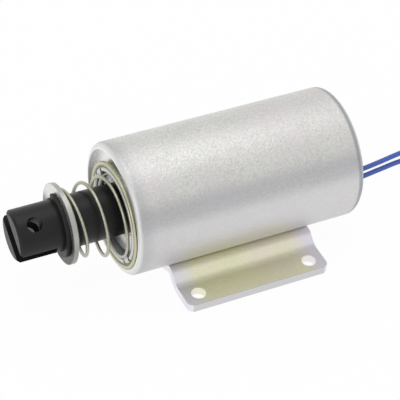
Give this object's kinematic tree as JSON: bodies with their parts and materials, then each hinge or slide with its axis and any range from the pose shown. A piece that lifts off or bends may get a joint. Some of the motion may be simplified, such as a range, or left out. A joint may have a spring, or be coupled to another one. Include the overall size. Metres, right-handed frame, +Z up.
{
  "type": "push pull solenoid",
  "caption": "Round push pull solenoid: slotted plunger with washer, clip and return spring, spring cup in the case's mouth, saddle foot with screw holes, and flying leads.",
  "frame": {"origin": "middle of the foot's rectangle of screw holes, on the foot's underside", "axes": "+X along the plunger toward the case's rear, so the plunger points to -X; +Z up from the foot through the case's axis; +Y across the foot"},
  "size_m": [0.16, 0.0552, 0.0405],
  "materials": {
    "zinc": "satin bright zinc plate",
    "bright_zinc": "bright zinc plate",
    "yellow_zinc": "yellow passivated zinc plate",
    "yellow_zinc_foot": "yellow passivated zinc plate with a pink and violet sheen",
    "brass": "drawn",
    "bobbin": "moulded nylon",
    "copper": "enamelled copper wire",
    "tape": "polyester tape",
    "insulator": "pressed fibre",
    "spring_steel": "bright",
    "pole_steel": "turned and zinc plated",
    "black_rubber": "moulded",
    "sleeve": "heat shrunk",
    "blue_lead": "extruded insulation",
    "tie": "moulded nylon",
    "tinned": "tinned",
    "black_steel": "black satin oxide",
    "clip_steel": "black phosphate",
    "spring_wire": "bright zinc plate"
  },
  "bodies": {
    "stator": {"case_shell": "zinc", "front_plate": "zinc", "seat_cup": "yellow_zinc", "guide_tube": "brass", "coil_bobbin": "bobbin", "coil_winding": "copper", "coil_tape": "tape", "front_insulator": "insulator", "rear_insulator": "insulator", "wave_washer": "spring_steel", "stop_pole": "pole_steel", "gap_washer": "brass", "rear_plate": "zinc", "lead_grommet": "black_rubber", "splice_sleeve_a": "sleeve", "splice_sleeve_b": "sleeve", "lead_a": "blue_lead", "lead_b": "blue_lead", "lead_coil": "blue_lead", "lead_tie": "tie", "lead_tip_a": "tinned", "lead_tip_b": "tinned", "return_spring": "spring_wire", "foot_bracket": "yellow_zinc_foot"},
    "carriage": {"spring_washer": "bright_zinc"},
    "armature": {"plunger": "black_steel", "e_clip": "clip_steel"}
  },
  "joints": [
    {"name": "plunger_slide", "type": "slide", "parent": "stator", "child": "carriage", "axis": [1, 0, 0], "range_m": [0, 0.01], "stiffness_N_per_m": 880, "deforming": ["return_spring"]},
    {"name": "plunger_spin", "type": "hinge", "parent": "carriage", "child": "armature", "pos_m": [-0.0497, 0, 0.0215], "axis": [1, 0, 0], "continuous": true}
  ]
}
